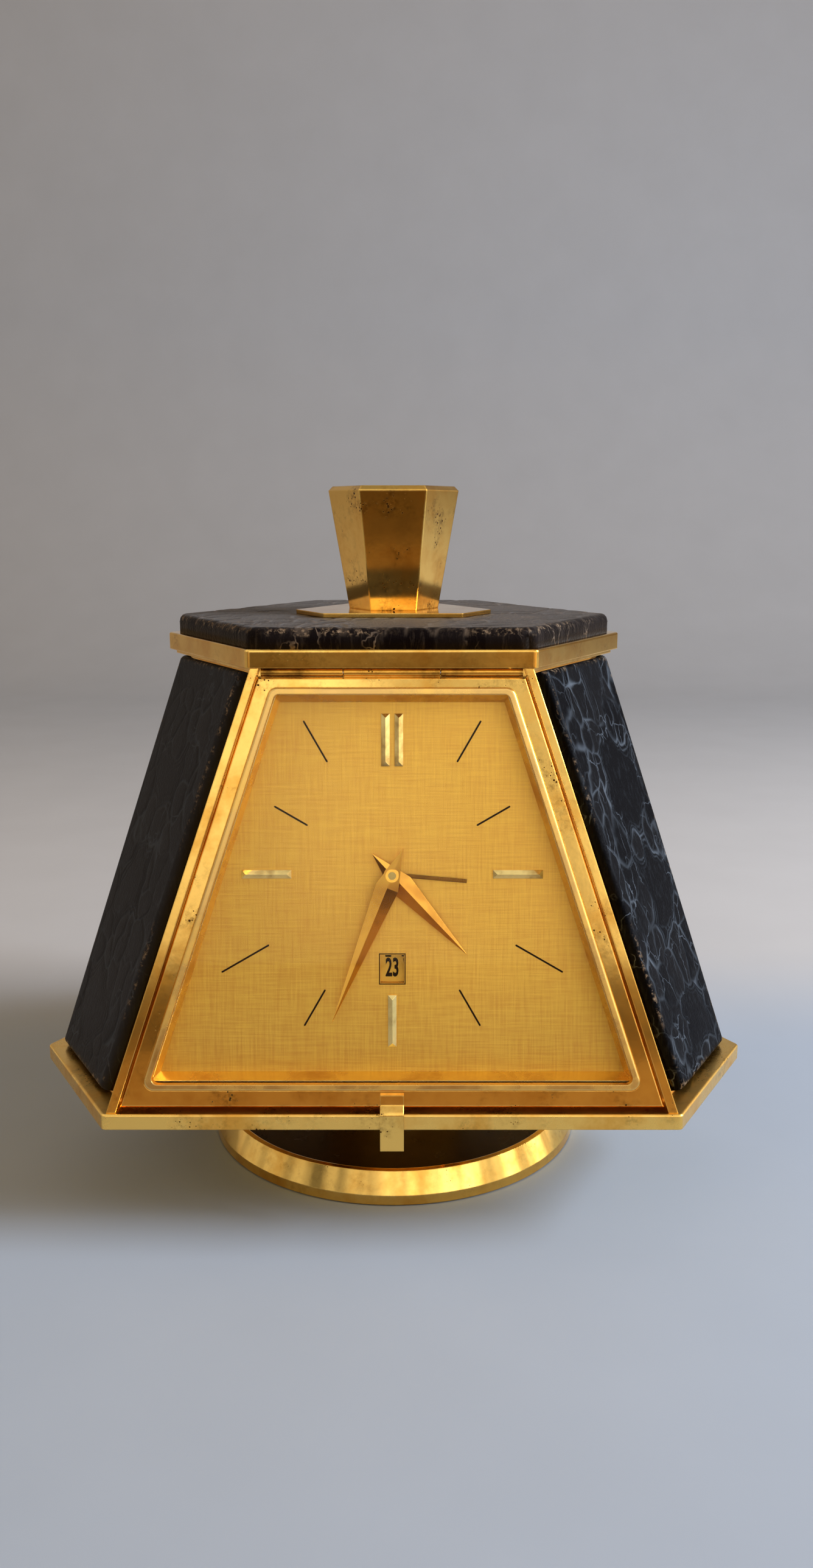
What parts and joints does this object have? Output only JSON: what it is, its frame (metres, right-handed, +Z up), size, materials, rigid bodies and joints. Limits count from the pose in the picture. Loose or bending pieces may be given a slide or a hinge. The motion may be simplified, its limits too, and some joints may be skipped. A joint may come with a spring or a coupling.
{
  "type": "swivelling desk alarm clock",
  "caption": "Six-sided tapering desk alarm clock on a round swivel foot, with gilt plates, leather-covered sides, a hexagonal top knob and a clock face hinged at its top edge.",
  "frame": {"origin": "centre of the foot's underside, on the swivel axis, at the level of the table", "axes": "+Z up along the swivel axis, -Y towards the front of the clock face, +X to the right seen from the front"},
  "size_m": [0.1612, 0.1412, 0.1563],
  "materials": {
    "gold_brass": "polished gold plate",
    "movement_brass": "satin",
    "steel": "turned",
    "leather": "crocodile grain, semi-gloss",
    "dial_gold": "linen-brushed gilt",
    "date_disc": "satin",
    "black_enamel": "enamelled",
    "dark_inlay": "dark lacquer",
    "felt": "felt",
    "glass": "clear"
  },
  "bodies": {
    "base": {"foot": "gold_brass", "foot_inlay": "dark_inlay", "foot_felt": "felt", "spindle": "steel", "thrust_washers": "movement_brass", "spindle_nut": "steel"},
    "case": {"bottom_plate": "gold_brass", "swivel_hub": "gold_brass", "top_plate": "gold_brass", "top_pad": "leather", "knob_flange": "gold_brass", "knob": "gold_brass", "knob_screw": "steel", "front_frame": "gold_brass", "case_shell": "gold_brass", "side_panel_left": "leather", "side_panel_right": "leather", "rear_panel_left": "leather", "rear_panel_right": "leather", "back_panel": "leather", "tie_rods": "steel", "tie_screws": "steel", "hinge_fixed": "gold_brass", "hinge_pin": "steel"},
    "door": {"door_frame": "gold_brass", "bezel": "gold_brass", "crystal": "glass", "rehaut": "gold_brass", "dial": "dial_gold", "dial_carrier": "movement_brass", "hour_markers": "gold_brass", "hinge_moving": "gold_brass", "pull_tab": "gold_brass", "movement_screws": "steel", "movement_posts": "movement_brass", "movement_pillars": "movement_brass", "front_plate": "movement_brass", "rear_plate": "movement_brass", "movement_cover": "movement_brass", "alarm_barrel": "movement_brass"},
    "minute_train": {"minute_hand": "gold_brass", "cannon_pinion": "movement_brass", "centre_arbor": "movement_brass", "set_knob": "movement_brass"},
    "hour_train": {"hour_hand": "gold_brass", "hour_wheel": "movement_brass"},
    "minute_wheel": {"minute_wheel": "movement_brass"},
    "date_ring": {"date_ring": "date_disc"},
    "going_barrel": {"going_barrel": "movement_brass"},
    "alarm_pointer": {"alarm_hand": "black_enamel", "alarm_wheel": "movement_brass"},
    "alarm_setter": {"alarm_set_arbor": "steel", "alarm_set_knob": "movement_brass"},
    "winding_key": {"winding_key": "movement_brass"},
    "alarm_key": {"alarm_key": "movement_brass"},
    "alarm_stop": {"alarm_stop": "movement_brass"}
  },
  "joints": [
    {"name": "swivel", "type": "hinge", "parent": "base", "child": "case", "pos_m": [0, 0, 0.0254], "axis": [0, 0, 1], "continuous": true},
    {"name": "face_hinge", "type": "hinge", "parent": "case", "child": "door", "pos_m": [0, -0.04197, 0.1184], "axis": [-1, 0, 0], "range_deg": [0, 80]},
    {"name": "minute_turn", "type": "hinge", "parent": "door", "child": "minute_train", "pos_m": [0, -0.04973, 0.07703], "axis": [0, 0.9864, -0.1645], "continuous": true},
    {"name": "hour_turn", "type": "hinge", "parent": "door", "child": "hour_train", "pos_m": [0, -0.04973, 0.07703], "axis": [0, 0.9864, -0.1645], "continuous": true},
    {"name": "minute_wheel_turn", "type": "hinge", "parent": "door", "child": "minute_wheel", "pos_m": [-0.0096, -0.04973, 0.07703], "axis": [0, 0.9864, -0.1645], "continuous": true},
    {"name": "date_turn", "type": "hinge", "parent": "door", "child": "date_ring", "pos_m": [0, -0.04973, 0.07703], "axis": [0, 0.9864, -0.1645], "continuous": true},
    {"name": "barrel_turn", "type": "hinge", "parent": "door", "child": "going_barrel", "pos_m": [-0.0126, -0.04973, 0.07703], "axis": [0, 0.9864, -0.1645], "continuous": true},
    {"name": "alarm_set_turn", "type": "hinge", "parent": "door", "child": "alarm_setter", "pos_m": [0, -0.04776, 0.08887], "axis": [0, 0.9864, -0.1645], "continuous": true},
    {"name": "alarm_hand_turn", "type": "hinge", "parent": "door", "child": "alarm_pointer", "pos_m": [0, -0.04973, 0.07703], "axis": [0, 0.9864, -0.1645], "continuous": true},
    {"name": "winding_turn", "type": "hinge", "parent": "door", "child": "winding_key", "pos_m": [-0.0126, -0.04973, 0.07703], "axis": [0, 0.9864, -0.1645], "continuous": true},
    {"name": "alarm_winding_turn", "type": "hinge", "parent": "door", "child": "alarm_key", "pos_m": [0.0126, -0.04973, 0.07703], "axis": [0, 0.9864, -0.1645], "continuous": true},
    {"name": "alarm_stop_pull", "type": "slide", "parent": "door", "child": "alarm_stop", "axis": [0, 0.9864, -0.1645], "range_m": [0, 0.003]}
  ],
  "couplings": [
    {"joint": "hour_turn", "follows": "minute_turn", "ratio": 0.083333},
    {"joint": "minute_wheel_turn", "follows": "minute_turn", "ratio": -0.33333},
    {"joint": "date_turn", "follows": "minute_turn", "ratio": 0.0013441},
    {"joint": "barrel_turn", "follows": "minute_turn", "ratio": -0.2},
    {"joint": "alarm_hand_turn", "follows": "alarm_set_turn", "ratio": -0.2}
  ]
}
